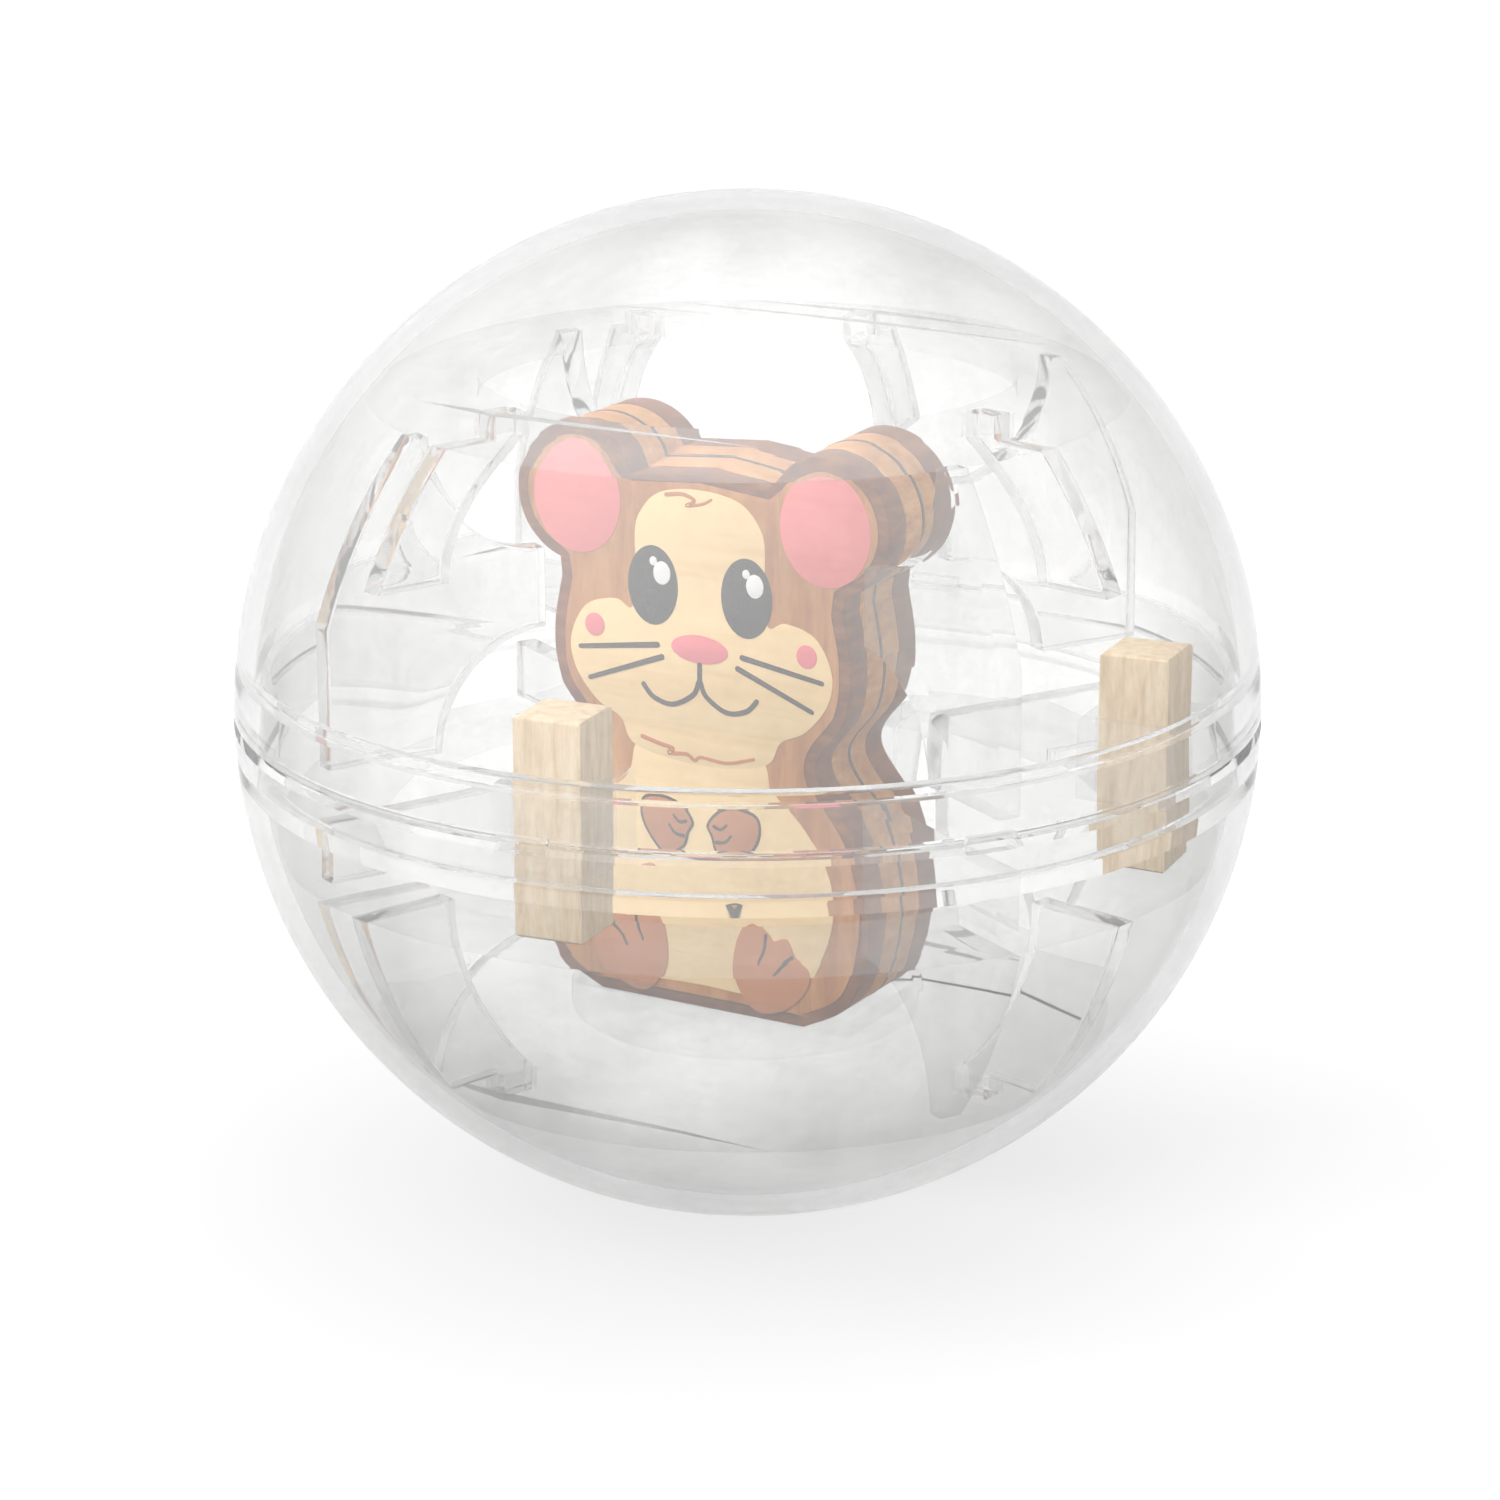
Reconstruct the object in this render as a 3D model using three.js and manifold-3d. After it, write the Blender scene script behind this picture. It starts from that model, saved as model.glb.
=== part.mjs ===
// A clear maze ball that opens at its equator. Two clear half shells hold flat clear maze sheets
// around a central well, two loose wooden pegs stand across the seam in a joining ring, and a
// laminated wooden hamster stands in the well.
import * as THREE from 'three';
import { mergeVertices } from 'three/addons/utils/BufferGeometryUtils.js';
import Module from 'manifold-3d';

const wasm = await Module();
wasm.setup();

// ---- Driving sizes, in millimetres. Heights count from the ball's centre. ----
const BALL_R = 60;
const SHELL_WALL = 2.4;
const FOOT_R = 12;
const SHEET = 3;
const FIT = 0.3;
const SEAM_GAP = 0.3;
const RIM_CHAMFER = 0.6;

const RING_HALF_HEIGHT = 4.8;
const RING_BAND = 2;
const RING_SEAT_GAP = 0.2;
const LEDGE_DEPTH = 1.8;
const LEDGE_HEIGHT = 1;
const LEDGE_SLOPE = 1.2;
const BOSS_WALL = 1.6;

const PEG_SIDE = 8;
const PEG_LENGTH = 25;
const PEG_INSET = 11;
const PEG_CHAMFER = 0.5;
const PEG_DROP = 12.8;

const SHELF_THICKNESS = 2;
const DECK_HEIGHT = (37 / 60) * BALL_R;
const WELL_R = (27.5 / 60) * BALL_R;
const WALL_FOOT = 1.8;
const SEAM_ARCH_SHARE = 0.85;
const DECK_OPENING_R = (31 / 60) * BALL_R;
const DECK_WEB = 2;

const GUSSET_TAB = 4;
const GUSSET_REACH = 15;

const PLY = 4;
const PLY_COUNT = 4;
const HAMSTER_HEIGHT = (69 / 60) * BALL_R;
const HAMSTER_SHIFT = -1.7;
const STAND_R = (21 / 60) * BALL_R;
const STAND_FLOOR = 1.2;
const STAND_LIP = 2;

const PRY_WIDTH = 6;
const PRY_DEPTH = 1.2;
const PRY_HEIGHT = 0.9;

// ---- Where things stand around the vertical axis, in degrees. ----
const QUARTER_TURNS = [0, 90, 180, 270];
const PEG_AZIMUTHS = [-84, 6];
const WALL_AZIMUTH = 61;
const GUSSET_AZIMUTHS = [-111, -11, 97, 141];
const PRY_AZIMUTHS = [-84, -34, 96, 146];

// ---- How finely round faces are cut. ----
const SEGMENTS = 48;
const SHELL_STEPS = 9;
const ARC_STEPS = 6;

// ---- Sizes that follow from the ones above. ----
const CENTRE_HEIGHT = Math.sqrt(BALL_R ** 2 - FOOT_R ** 2);
const INNER_R = BALL_R - SHELL_WALL;
const FACET_KEEP = Math.cos(Math.PI / SEGMENTS) * Math.cos(Math.PI / (4 * SHELL_STEPS));
const CLEAR_R = INNER_R * FACET_KEEP - FIT;
const RECESS_R = INNER_R - FIT;
const RING_R = RECESS_R - FIT;
const LEDGE_R = RECESS_R - LEDGE_DEPTH;
const LEDGE_TOP = RING_HALF_HEIGHT + RING_SEAT_GAP;
const RING_BAND_R = RING_R - RING_BAND;
const PEG_R = BALL_R - PEG_INSET;
const SOCKET_HALF = PEG_SIDE / 2 + FIT;
const BOSS_HALF = SOCKET_HALF + BOSS_WALL;
const BOSS_R = PEG_R - SOCKET_HALF - BOSS_WALL;
const MAZE_GAP = RING_HALF_HEIGHT + 2 * FIT;
const MAZE_OUTER_R = RING_BAND_R - FIT;
const LOWER_SHELF_TOP = -PEG_DROP;
const SHELF_INNER_R = BOSS_R + FIT;
const DECK_TOP = DECK_HEIGHT + SHEET;
const GUSSET_FOOT_R = DECK_OPENING_R + DECK_WEB;
const STAND_BOTTOM = -DECK_TOP + SHEET;
const HAMSTER_BASE = STAND_BOTTOM + STAND_FLOOR;

const radians = THREE.MathUtils.degToRad;

/** The largest radius that stays clear of the shell's inner face at a height. */
function clearRadius(height) {
  return Math.sqrt(CLEAR_R ** 2 - height ** 2);
}

/** Points on an arc, with its two ends. */
function arcPoints(x, y, radius, from, to, steps) {
  const points = [];
  for (let i = 0; i <= steps; i += 1) {
    const angle = from + ((to - from) * i) / steps;
    points.push(new THREE.Vector2(x + radius * Math.cos(angle), y + radius * Math.sin(angle)));
  }
  return points;
}

/** The arc of a circle about the origin between two heights, on its positive side. */
function arcBetween(radius, fromHeight, toHeight, steps) {
  const from = Math.asin(THREE.MathUtils.clamp(fromHeight / radius, -1, 1));
  const to = Math.asin(THREE.MathUtils.clamp(toHeight / radius, -1, 1));
  return arcPoints(0, 0, radius, from, to, steps);
}

function point(x, y) {
  return new THREE.Vector2(x, y);
}

/** The same outline upside down, kept turning the same way. */
function flipped(points) {
  return points.map((p) => point(p.x, -p.y)).reverse();
}

function extruded(points, holes, depth) {
  const shape = new THREE.Shape(points);
  shape.holes = holes.map((hole) => new THREE.Path(hole));
  return new THREE.ExtrudeGeometry(shape, { depth, bevelEnabled: false });
}

/** A flat sheet whose outline is seen from above. */
function flatSheet(points, holes, bottom, thickness) {
  return extruded(points, holes, thickness).translate(0, 0, bottom);
}

/** A standing sheet in a plane through the vertical axis. Its outline is radius against height. */
function radialSheet(points, holes, thickness, azimuth) {
  return extruded(points, holes, thickness)
    .translate(0, 0, -thickness / 2)
    .rotateX(Math.PI / 2)
    .rotateZ(radians(azimuth));
}

/** A solid of revolution about the vertical axis. Its profile is radius against height. */
function turned(profile) {
  return new THREE.LatheGeometry(profile, SEGMENTS).rotateX(Math.PI / 2);
}

/** A block that runs outwards from a radius, centred on an azimuth and a height. */
function radialBlock(fromRadius, toRadius, width, height, azimuth, centreHeight) {
  return new THREE.BoxGeometry(toRadius - fromRadius, width, height)
    .translate((fromRadius + toRadius) / 2, 0, centreHeight)
    .rotateZ(radians(azimuth));
}

function toManifold(geometry) {
  const bare = new THREE.BufferGeometry();
  bare.setAttribute('position', geometry.getAttribute('position'));
  bare.setIndex(geometry.getIndex());
  const merged = mergeVertices(bare, 1e-4);
  const mesh = new wasm.Mesh({
    numProp: 3,
    vertProperties: new Float32Array(merged.getAttribute('position').array),
    triVerts: new Uint32Array(merged.getIndex().array),
  });
  return new wasm.Manifold(mesh);
}

function toGeometry(manifold) {
  const mesh = manifold.getMesh();
  const geometry = new THREE.BufferGeometry();
  geometry.setAttribute('position', new THREE.BufferAttribute(mesh.vertProperties, 3));
  geometry.setIndex(new THREE.BufferAttribute(mesh.triVerts, 1));
  return geometry;
}

/** One geometry with others cut out of it. */
function cut(geometry, tools) {
  const left = tools.reduce((solid, tool) => solid.subtract(toManifold(tool)), toManifold(geometry));
  return toGeometry(left);
}

// ---- The two half shells ----

/** Half a shell above the seam. A foot radius of zero gives a closed dome. */
function shellProfile(footRadius) {
  const outerTop = Math.sqrt(BALL_R ** 2 - footRadius ** 2);
  const innerTop = outerTop - SHELL_WALL;
  const rim = SEAM_GAP / 2;
  const ledgeEnd = LEDGE_TOP + LEDGE_HEIGHT + LEDGE_SLOPE;
  const inside = arcBetween(INNER_R, innerTop, ledgeEnd, SHELL_STEPS);
  const outside = arcBetween(BALL_R, rim + RIM_CHAMFER, outerTop, SHELL_STEPS);
  const profile = [
    point(0, innerTop),
    ...inside,
    point(LEDGE_R, LEDGE_TOP + LEDGE_HEIGHT),
    point(LEDGE_R, LEDGE_TOP),
    point(RECESS_R, LEDGE_TOP),
    point(RECESS_R, rim),
    point(BALL_R - RIM_CHAMFER, rim),
    ...outside,
    point(0, outerTop),
  ];
  return profile.filter((p, i) => i === 0 || p.distanceTo(profile[i - 1]) > 1e-3);
}

function pryTools() {
  return PRY_AZIMUTHS.map((azimuth) =>
    radialBlock(BALL_R - PRY_DEPTH, BALL_R + PRY_DEPTH, PRY_WIDTH, 2 * PRY_HEIGHT, azimuth, 0),
  );
}

function lowerShell() {
  return cut(turned(flipped(shellProfile(FOOT_R))), pryTools());
}

function upperShell() {
  return cut(turned(shellProfile(0)), pryTools());
}

// ---- Decks and shelf ----

/** A deck whose rim slopes with the shell, with a slot for each gusset's tab. */
function deckSheet(bottom, openingRadius) {
  const top = bottom + SHEET;
  const rim = [point(clearRadius(bottom), bottom), point(clearRadius(top), top)];
  const innerEdge = [point(openingRadius, top), point(openingRadius, bottom)];
  const sheet = turned([innerEdge[1], ...rim, ...innerEdge.slice(0, openingRadius > 0 ? 2 : 1)]);
  const slots = GUSSET_AZIMUTHS.map((azimuth) =>
    radialBlock(
      GUSSET_FOOT_R - FIT,
      GUSSET_FOOT_R + GUSSET_TAB + FIT,
      SHEET + 2 * FIT,
      3 * SHEET,
      azimuth,
      bottom + SHEET / 2,
    ),
  );
  return cut(sheet, slots);
}

/** The ring-shaped shelf that the pegs stand on. It reaches out to the shell. */
function lowerShelf() {
  const top = LOWER_SHELF_TOP;
  const bottom = top - SHELF_THICKNESS;
  return turned([
    point(SHELF_INNER_R, bottom),
    point(clearRadius(bottom), bottom),
    point(clearRadius(top), top),
    point(SHELF_INNER_R, top),
    point(SHELF_INNER_R, bottom),
  ]);
}

// ---- Maze walls ----

/** A quarter arch that opens a wall from the well towards its deck. */
function deckArch() {
  const radius = clearRadius(DECK_HEIGHT) - WALL_FOOT - WELL_R;
  return arcPoints(WELL_R, DECK_HEIGHT, radius, 0, -Math.PI / 2, ARC_STEPS);
}

/** A wall of the lower half, drawn above the seam. Its outer edge has a notch for the shelf. */
function lowerWallOutline() {
  const notchInner = SHELF_INNER_R - FIT;
  const notchBottom = PEG_DROP - FIT;
  const notchTop = PEG_DROP + SHELF_THICKNESS + FIT;
  return [
    point(WELL_R, MAZE_GAP),
    point(MAZE_OUTER_R, MAZE_GAP),
    point(MAZE_OUTER_R, notchBottom),
    point(notchInner, notchBottom),
    point(notchInner, notchTop),
    ...arcBetween(CLEAR_R, notchTop, DECK_HEIGHT, ARC_STEPS),
    ...deckArch(),
  ];
}

/** A wall of the upper half: a second quarter arch springs from a leg inside the joining ring. */
function upperWallOutline() {
  const archRadius = (SHELF_INNER_R - WELL_R) * SEAM_ARCH_SHARE;
  const legBottom = 2 * FIT;
  const archEnd = Math.asin(legBottom / archRadius);
  const straightTop = Math.sqrt(CLEAR_R ** 2 - MAZE_OUTER_R ** 2);
  return [
    ...arcPoints(WELL_R, 0, archRadius, Math.PI / 2, archEnd, ARC_STEPS),
    point(MAZE_OUTER_R, legBottom),
    ...arcBetween(CLEAR_R, straightTop, DECK_HEIGHT, 2 * ARC_STEPS),
    ...deckArch(),
  ];
}

function lowerWall(turn) {
  return radialSheet(flipped(lowerWallOutline()), [], SHEET, WALL_AZIMUTH + turn);
}

function upperWall(turn) {
  return radialSheet(upperWallOutline(), [], SHEET, WALL_AZIMUTH + turn);
}

// ---- Gussets ----

/** A gusset above the seam: it meets the deck from a lower edge up and has a tab in the deck's slot. */
function gussetOutline(lowerEdge) {
  const tabEnd = GUSSET_FOOT_R + GUSSET_TAB;
  const hollow = new THREE.QuadraticBezierCurve(
    point(GUSSET_FOOT_R, DECK_HEIGHT),
    point(SHELF_INNER_R, (DECK_HEIGHT + lowerEdge) / 2),
    point(SHELF_INNER_R, lowerEdge),
  );
  return [
    ...hollow.getPoints(ARC_STEPS).slice(1),
    ...arcBetween(CLEAR_R, lowerEdge, DECK_HEIGHT, ARC_STEPS),
    point(tabEnd, DECK_HEIGHT),
    point(tabEnd, DECK_TOP),
    point(GUSSET_FOOT_R, DECK_TOP),
    point(GUSSET_FOOT_R, DECK_HEIGHT),
  ];
}

/** A lower gusset runs from the lower shelf to the lower deck. */
function lowerGusset(azimuth) {
  return radialSheet(flipped(gussetOutline(PEG_DROP + SHELF_THICKNESS)), [], SHEET, azimuth);
}

/** An upper gusset hangs from the upper deck. */
function upperGusset(azimuth) {
  return radialSheet(gussetOutline(DECK_HEIGHT - GUSSET_REACH), [], SHEET, azimuth);
}

// ---- Joining ring and pegs ----

function squareAt(radius, half, azimuth) {
  const corners = [
    [-half, -half],
    [half, -half],
    [half, half],
    [-half, half],
  ];
  const origin = point(0, 0);
  return corners.map(([x, y]) => point(radius + x, y).rotateAround(origin, radians(azimuth)));
}

/** The ring's inner edge: a circle that steps inwards around each peg's socket. */
function ringInnerEdge() {
  const bossAngle = Math.asin(BOSS_HALF / RING_BAND_R);
  const origin = point(0, 0);
  return PEG_AZIMUTHS.flatMap((degrees, i) => {
    const azimuth = radians(degrees);
    const nextDegrees = PEG_AZIMUTHS[i + 1] ?? PEG_AZIMUTHS[0] + 360;
    const arcStart = azimuth + bossAngle;
    const arcEnd = radians(nextDegrees) - bossAngle;
    const steps = Math.ceil(((arcEnd - arcStart) / (2 * Math.PI)) * SEGMENTS);
    return [
      point(BOSS_R, -BOSS_HALF).rotateAround(origin, azimuth),
      point(BOSS_R, BOSS_HALF).rotateAround(origin, azimuth),
      ...arcPoints(0, 0, RING_BAND_R, arcStart, arcEnd, steps),
    ];
  });
}

function joiningRing() {
  const outer = arcPoints(0, 0, RING_R, 0, 2 * Math.PI, SEGMENTS).slice(1);
  const sockets = PEG_AZIMUTHS.map((azimuth) => squareAt(PEG_R, SOCKET_HALF, azimuth));
  const holes = [ringInnerEdge(), ...sockets];
  return flatSheet(outer, holes, -RING_HALF_HEIGHT, 2 * RING_HALF_HEIGHT);
}

function peg(azimuth) {
  const outline = squareAt(0, PEG_SIDE / 2, 0);
  return new THREE.ExtrudeGeometry(new THREE.Shape(outline), {
    depth: PEG_LENGTH - 2 * PEG_CHAMFER,
    bevelThickness: PEG_CHAMFER,
    bevelSize: PEG_CHAMFER,
    bevelOffset: -PEG_CHAMFER,
    bevelSegments: 1,
  })
    .translate(PEG_R, 0, PEG_CHAMFER - PEG_DROP)
    .rotateZ(radians(azimuth));
}

// ---- The hamster and its stand ----

/** Right half of the hamster's outline as shares of its height: foot, haunch, waist, cheek. */
const HAMSTER_SIDE = [
  [0.2, 0],
  [0.292, 0.06],
  [0.33, 0.2],
  [0.3, 0.34],
  [0.222, 0.455],
  [0.277, 0.55],
  [0.288, 0.64],
  [0.272, 0.735],
];
const EAR_CENTRE = [0.239, 0.877];
const EAR_SHARE = 0.12;
const EAR_FROM = -72;
const EAR_TO = 152;

/** The hamster seen from the front, standing on the line of height zero. */
function hamsterOutline() {
  const side = new THREE.SplineCurve(HAMSTER_SIDE.map(([x, y]) => point(x, y)));
  const ear = arcPoints(...EAR_CENTRE, EAR_SHARE, radians(EAR_FROM), radians(EAR_TO), 10);
  const right = [...side.getPoints(18).slice(0, -1), ...ear];
  const crown = point(0, ear.at(-1).y + EAR_SHARE * 0.1);
  const left = right.map((p) => point(-p.x, p.y)).reverse();
  return [...right, crown, ...left].map((p) => p.multiplyScalar(HAMSTER_HEIGHT));
}

/** One layer of the hamster, counted from its front. It stands a little to one side of the axis. */
function hamsterPly(index) {
  const front = (index - PLY_COUNT / 2) * PLY;
  return extruded(hamsterOutline(), [], PLY)
    .rotateX(Math.PI / 2)
    .translate(HAMSTER_SHIFT, front + PLY, HAMSTER_BASE);
}

/** A round clear base with a shallow recess that the hamster stands in. */
function hamsterStand() {
  const top = HAMSTER_BASE + STAND_LIP;
  const base = turned([
    point(0, STAND_BOTTOM),
    point(STAND_R, STAND_BOTTOM),
    point(STAND_R, top - RIM_CHAMFER),
    point(STAND_R - RIM_CHAMFER, top),
    point(0, top),
  ]);
  const widest = Math.max(
    ...hamsterOutline()
      .filter((p) => p.y < 2 * STAND_LIP)
      .map((p) => p.x),
  );
  const recess = new THREE.BoxGeometry(
    2 * (widest + FIT),
    PLY * PLY_COUNT + 2 * FIT,
    2 * STAND_LIP,
  ).translate(HAMSTER_SHIFT, 0, HAMSTER_BASE + STAND_LIP);
  return cut(base, [recess]);
}

// ---- Materials and assembly ----

const clearPlastic = {
  color: 0xe9eef0,
  roughness: 0.08,
  metalness: 0,
  transparent: true,
  opacity: 0.28,
};
const clearSheet = { ...clearPlastic, color: 0xdfe6e8, roughness: 0.12, opacity: 0.4 };
const pegWood = { color: 0xd9b384, roughness: 0.6, metalness: 0 };
const darkPly = { color: 0x8a5228, roughness: 0.65, metalness: 0 };
const lightPly = { color: 0xd8ae74, roughness: 0.65, metalness: 0 };

const part = new THREE.Group();
part.name = 'maze_ball_puzzle';

function add(name, geometry, look) {
  const mesh = new THREE.Mesh(geometry, new THREE.MeshStandardMaterial(look));
  mesh.name = name;
  mesh.position.z = CENTRE_HEIGHT;
  part.add(mesh);
}

add('lower_shell', lowerShell(), clearPlastic);
add('upper_shell', upperShell(), clearPlastic);
add('lower_deck', deckSheet(-DECK_TOP, 0), clearSheet);
add('upper_deck', deckSheet(DECK_HEIGHT, DECK_OPENING_R), clearSheet);
add('lower_shelf', lowerShelf(), clearSheet);
add('joining_ring', joiningRing(), clearSheet);
add('hamster_stand', hamsterStand(), clearSheet);

QUARTER_TURNS.forEach((turn, i) => {
  add(`lower_wall_${i + 1}`, lowerWall(turn), clearSheet);
  add(`upper_wall_${i + 1}`, upperWall(turn), clearSheet);
});
GUSSET_AZIMUTHS.forEach((azimuth, i) => {
  add(`lower_gusset_${i + 1}`, lowerGusset(azimuth), clearSheet);
  add(`upper_gusset_${i + 1}`, upperGusset(azimuth), clearSheet);
});
PEG_AZIMUTHS.forEach((azimuth, i) => {
  add(`peg_${i + 1}`, peg(azimuth), pegWood);
});

add('hamster_front', hamsterPly(0), darkPly);
add('hamster_front_core', hamsterPly(1), lightPly);
add('hamster_back_core', hamsterPly(2), lightPly);
add('hamster_back', hamsterPly(3), darkPly);

export default part;
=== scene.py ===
"""The clear maze ball with its wooden pegs and laminated hamster, on a pale studio floor."""

import math

import bmesh
import bpy
from mathutils import Matrix, Vector


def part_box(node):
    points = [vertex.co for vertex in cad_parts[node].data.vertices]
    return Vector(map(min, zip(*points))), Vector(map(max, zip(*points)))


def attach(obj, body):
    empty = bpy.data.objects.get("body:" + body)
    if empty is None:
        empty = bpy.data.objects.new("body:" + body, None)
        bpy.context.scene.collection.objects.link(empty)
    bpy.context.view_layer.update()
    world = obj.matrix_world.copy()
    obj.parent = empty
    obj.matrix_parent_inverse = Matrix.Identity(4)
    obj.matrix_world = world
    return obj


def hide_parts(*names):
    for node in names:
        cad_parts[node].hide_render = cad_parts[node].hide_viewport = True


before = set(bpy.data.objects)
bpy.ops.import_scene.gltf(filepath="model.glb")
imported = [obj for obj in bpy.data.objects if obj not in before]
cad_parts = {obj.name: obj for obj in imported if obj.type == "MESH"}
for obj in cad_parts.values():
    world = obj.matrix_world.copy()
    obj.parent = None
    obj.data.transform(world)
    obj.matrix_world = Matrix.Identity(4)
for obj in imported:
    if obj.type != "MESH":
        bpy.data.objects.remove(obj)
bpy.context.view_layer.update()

MM = 0.001
QUARTERS = range(4)


# ---- Sizes, read from the CAD nodes, in millimetres. Heights count from the ball's centre. ----

def low(node, axis):
    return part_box(node)[0][axis] / MM


def high(node, axis):
    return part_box(node)[1][axis] / MM


CENTRE = (high("lower_shell", 2) + low("upper_shell", 2)) / 2
SEAM_HALF = low("upper_shell", 2) - CENTRE
BALL_R = high("upper_shell", 2) - CENTRE
FOOT_R = math.sqrt(BALL_R ** 2 - CENTRE ** 2)
WALL = 2.4
FIT = 0.3
FACET_ROOM = 0.15
INNER_R = BALL_R - WALL
CLEAR_R = INNER_R - FIT - FACET_ROOM
RING_HALF = high("joining_ring", 2) - CENTRE
RING_SEAT_GAP = 0.2
RECESS_R = INNER_R - FIT
RING_R = RECESS_R - FIT
LEDGE_DEPTH = 1.8
LEDGE_R = RECESS_R - LEDGE_DEPTH
LEDGE_TOP = RING_HALF + RING_SEAT_GAP
LEDGE_HEIGHT = 1.0
LEDGE_SLOPE = 1.2
RIM_CHAMFER = 0.6
EDGE_EASE = 0.2
SHEET = high("upper_deck", 2) - low("upper_deck", 2)
DECK = low("upper_deck", 2) - CENTRE
DECK_TOP = DECK + SHEET
DECK_OPENING_R = 31.0
SHELF = high("lower_shelf", 2) - low("lower_shelf", 2)
LOWER_SHELF = CENTRE - high("lower_shelf", 2)
RING_BAND = 2.0
RING_BAND_R = RING_R - RING_BAND
MAZE_GAP = RING_HALF + 2 * FIT
MAZE_OUTER_R = RING_BAND_R - FIT
WELL_R = 27.5
WALL_FOOT = 1.8
SEAM_ARCH_SHARE = 0.85
PEG_SIDE = 8.0
PEG_R = 49.0
PEG_LENGTH = high("peg_1", 2) - low("peg_1", 2)
PEG_BASE = low("peg_1", 2) - CENTRE
PEG_AZIMUTHS = (-84, 6)
WALL_AZIMUTH = 61
BESIDE_HAMSTER = 3
GUSSET_AZIMUTHS = (-111, -11, 97, 141)
SOCKET_HALF = PEG_SIDE / 2 + FIT
BOSS_WALL = 1.6
BOSS_HALF = SOCKET_HALF + BOSS_WALL
BOSS_R = PEG_R - BOSS_HALF
SHELF_INNER_R = BOSS_R + FIT
GUSSET_FOOT_R = 33.0
GUSSET_TAB = 4.0
GUSSET_REACH = 15.0
PLY = high("hamster_front", 1) - low("hamster_front", 1)
HAMSTER_FACE = low("hamster_front", 1)
HAMSTER_X = (low("hamster_front", 0) + high("hamster_front", 0)) / 2
HAMSTER_BASE = low("hamster_front", 2) - CENTRE
HAMSTER_HEIGHT = 69.0
STAND_R = high("hamster_stand", 0)
STAND_BOTTOM = low("hamster_stand", 2) - CENTRE
STAND_TOP = high("hamster_stand", 2) - CENTRE
PRY_AZIMUTHS = (-84, -34, 96, 146)
PRY_WIDTH = 6.0
PRY_DEPTH = 1.2
PRY_HEIGHT = 0.9

# Rounded edges, and the paint on the hamster.
SHEET_BEVEL = 0.25
RING_BEVEL = 0.3
PEG_BEVEL = 0.45
PLY_BEVEL = 0.22
PAINT_THICKNESS = 0.1
PAINT_BEVEL = 0.03
PAINT_SINK = 0.06
PAINT_STEP = 0.05
GLUE_THICKNESS = 0.6
GLUE_BULGE = 0.04

# Faces that would otherwise coincide are set this far apart.
STAND_LIFT = 0.05
RECESS_DROP = 0.1


# ---- Node helpers ----

def new_material(name):
    material = bpy.data.materials.new(name)
    material.use_nodes = True
    tree = material.node_tree
    tree.nodes.clear()
    return material, tree


def node(tree, kind, inputs=None, **settings):
    made = tree.nodes.new(kind)
    for key, value in settings.items():
        setattr(made, key, value)
    for key, value in (inputs or {}).items():
        if isinstance(value, bpy.types.NodeSocket):
            tree.links.new(value, made.inputs[key])
        else:
            made.inputs[key].default_value = value
    return made


def noise(tree, scale, detail=4.0, stretch=(1, 1, 1), rough=0.5):
    place = node(tree, "ShaderNodeTexCoord")
    mapping = node(tree, "ShaderNodeMapping", {"Vector": place.outputs["Object"], "Scale": stretch})
    return node(
        tree,
        "ShaderNodeTexNoise",
        {"Vector": mapping.outputs[0], "Scale": scale, "Detail": detail, "Roughness": rough},
    ).outputs["Fac"]


def ramp(tree, source, stops):
    made = node(tree, "ShaderNodeValToRGB", {"Fac": source})
    line = made.color_ramp
    while len(line.elements) < len(stops):
        line.elements.new(0.5)
    for element, (place, colour) in zip(line.elements, stops):
        element.position = place
        element.color = (*colour, 1)
    return made.outputs["Color"]


def mapped(tree, source, low_out, high_out, low_in=0.3, high_in=0.7):
    return node(
        tree,
        "ShaderNodeMapRange",
        {"Value": source, "From Min": low_in, "From Max": high_in, "To Min": low_out, "To Max": high_out},
    ).outputs[0]


def mixed(tree, factor, first, second, blend="MIX"):
    made = node(tree, "ShaderNodeMix", data_type="RGBA", blend_type=blend)
    for index, value in ((0, factor), (6, first), (7, second)):
        if isinstance(value, bpy.types.NodeSocket):
            tree.links.new(value, made.inputs[index])
        else:
            made.inputs[index].default_value = value if index == 0 else (*value, 1)
    return made.outputs[2]


def bump(tree, source, strength, distance=0.0002):
    return node(
        tree, "ShaderNodeBump", {"Height": source, "Strength": strength, "Distance": distance}
    ).outputs[0]


def finish_material(tree, shader):
    node(tree, "ShaderNodeOutputMaterial", {"Surface": shader})


# ---- Materials ----

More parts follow.
